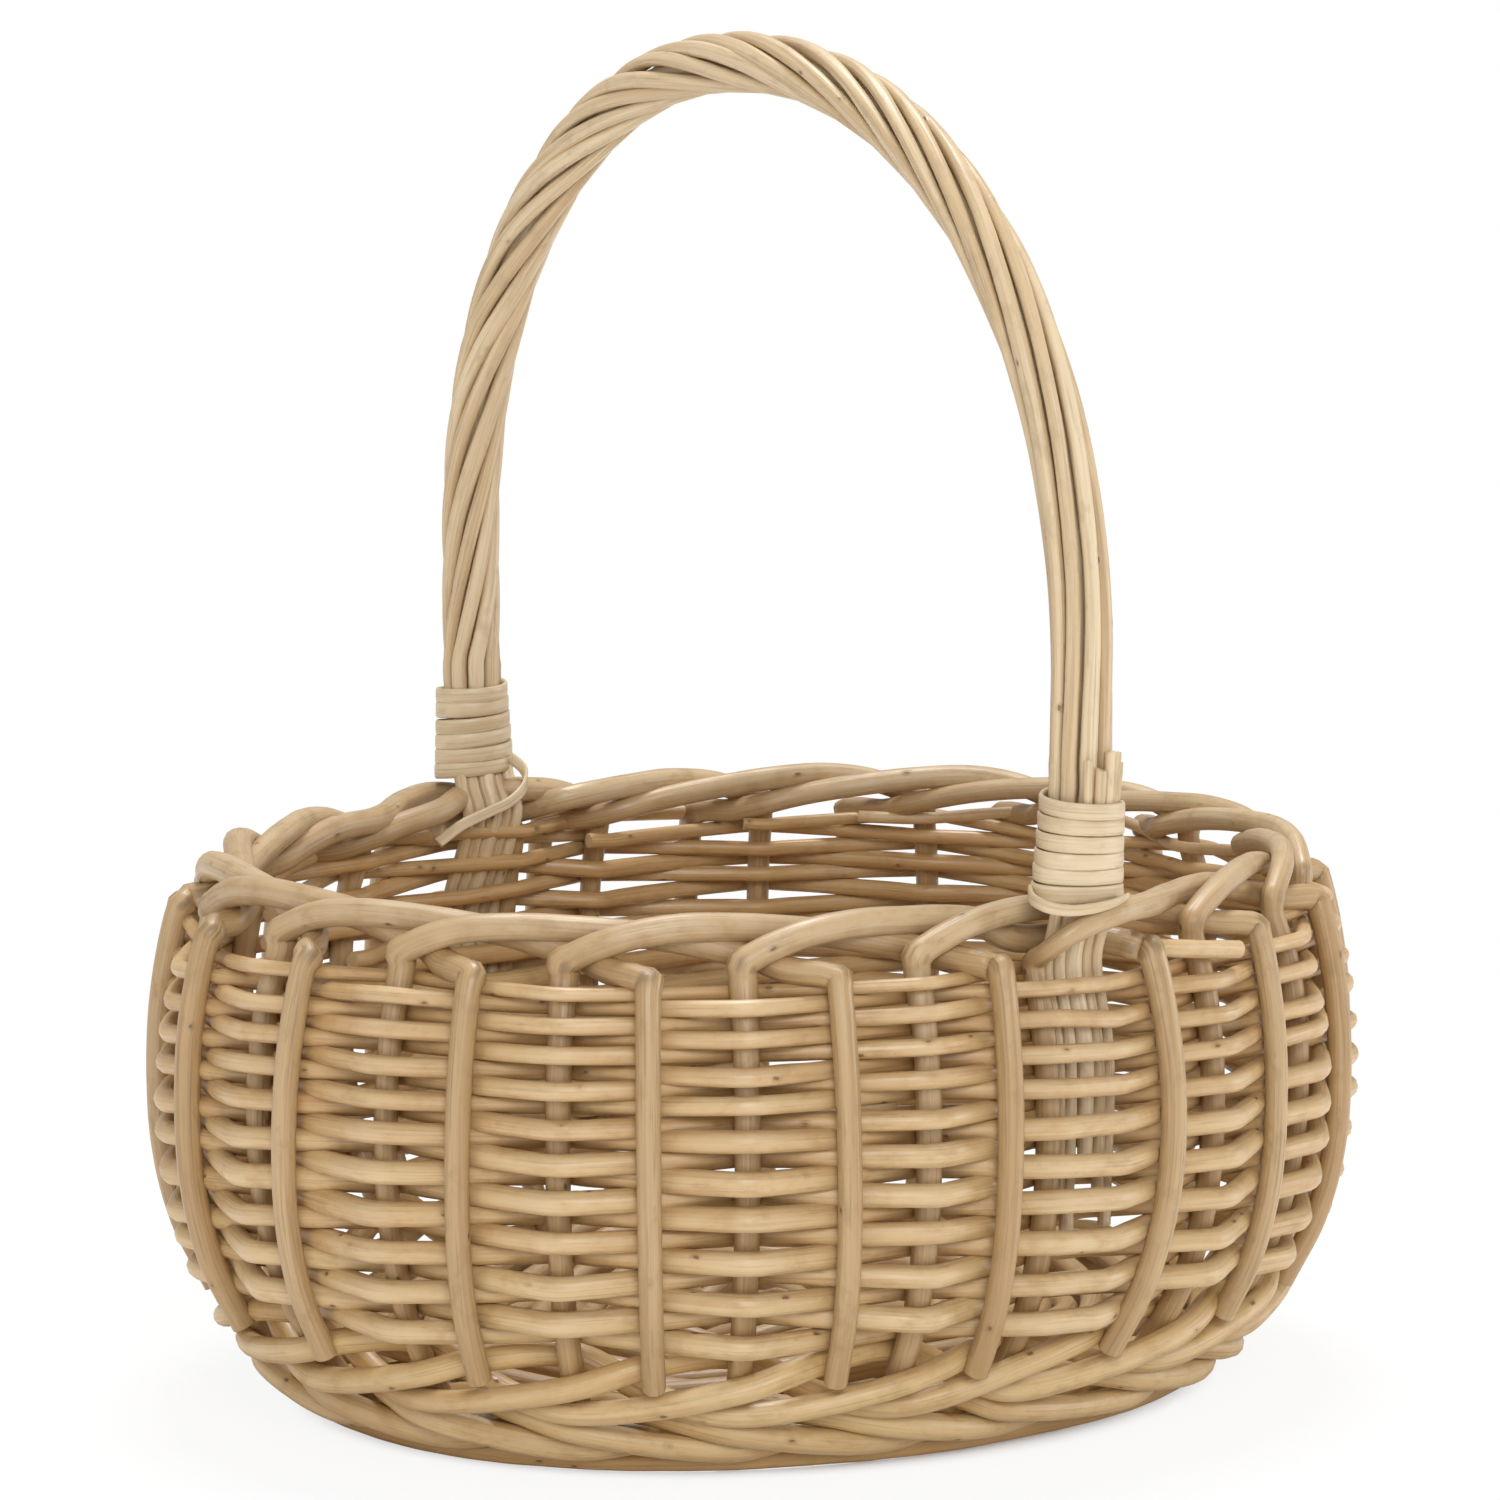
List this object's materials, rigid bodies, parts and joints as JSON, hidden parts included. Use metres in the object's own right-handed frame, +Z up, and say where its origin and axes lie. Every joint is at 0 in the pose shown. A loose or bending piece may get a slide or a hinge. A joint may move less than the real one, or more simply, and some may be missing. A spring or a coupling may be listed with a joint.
{
  "type": "wicker toy basket",
  "caption": "Oval willow toy basket with a belly, woven sides, outer ribs, a rolled border and a fixed roped bow handle bound with cane.",
  "frame": {"origin": "centre of the bounding box on the floor plane, under the middle of the base", "axes": "+X along the basket's length, +Y across it from the front handle foot to the back one, +Z up"},
  "size_m": [0.266, 0.2328, 0.2867],
  "materials": {
    "stake_willow": "smooth peeled willow",
    "weaver_willow": "smooth peeled willow",
    "wale_willow": "smooth peeled willow",
    "handle_willow": "smooth peeled willow",
    "cane": "satin split cane",
    "base_willow": "smooth peeled willow"
  },
  "bodies": {
    "root": {"stake_00": "stake_willow", "stake_01": "stake_willow", "stake_02": "stake_willow", "stake_03": "stake_willow", "stake_04": "stake_willow", "stake_05": "stake_willow", "stake_06": "stake_willow", "stake_07": "stake_willow", "stake_08": "stake_willow", "stake_09": "stake_willow", "stake_10": "stake_willow", "stake_11": "stake_willow", "stake_12": "stake_willow", "stake_13": "stake_willow", "stake_14": "stake_willow", "stake_15": "stake_willow", "stake_16": "stake_willow", "stake_17": "stake_willow", "stake_18": "stake_willow", "stake_19": "stake_willow", "weaver_row_01": "weaver_willow", "weaver_row_02": "weaver_willow", "weaver_row_03": "weaver_willow", "weaver_row_04": "weaver_willow", "weaver_row_05": "weaver_willow", "weaver_row_06": "weaver_willow", "weaver_row_07": "weaver_willow", "weaver_row_08": "weaver_willow", "weaver_row_09": "weaver_willow", "weaver_row_10": "weaver_willow", "weaver_row_11": "weaver_willow", "weaver_row_12": "weaver_willow", "weaver_row_13": "weaver_willow", "weaver_row_14": "weaver_willow", "weaver_row_15": "weaver_willow", "weaver_row_16": "weaver_willow", "weaver_row_17": "weaver_willow", "weaver_row_18": "weaver_willow", "weaver_row_19": "weaver_willow", "weaver_row_20": "weaver_willow", "wale_rod_a": "wale_willow", "wale_rod_b": "wale_willow", "wale_rod_c": "wale_willow", "foot_rod": "wale_willow", "handle_rope_rod_1": "handle_willow", "handle_rope_rod_2": "handle_willow", "handle_rope_rod_3": "handle_willow", "handle_rope_rod_4": "handle_willow", "handle_rope_rod_5": "handle_willow", "handle_rope_rod_6": "handle_willow", "handle_rope_rod_7": "handle_willow", "handle_rope_rod_8": "handle_willow", "handle_core": "handle_willow", "cane_binding_front": "cane", "cane_binding_back": "cane", "base_long_stick_1": "base_willow", "base_long_stick_2": "base_willow", "base_cross_stick_1": "base_willow", "base_cross_stick_2": "base_willow", "base_weaver": "base_willow"}
  },
  "joints": []
}
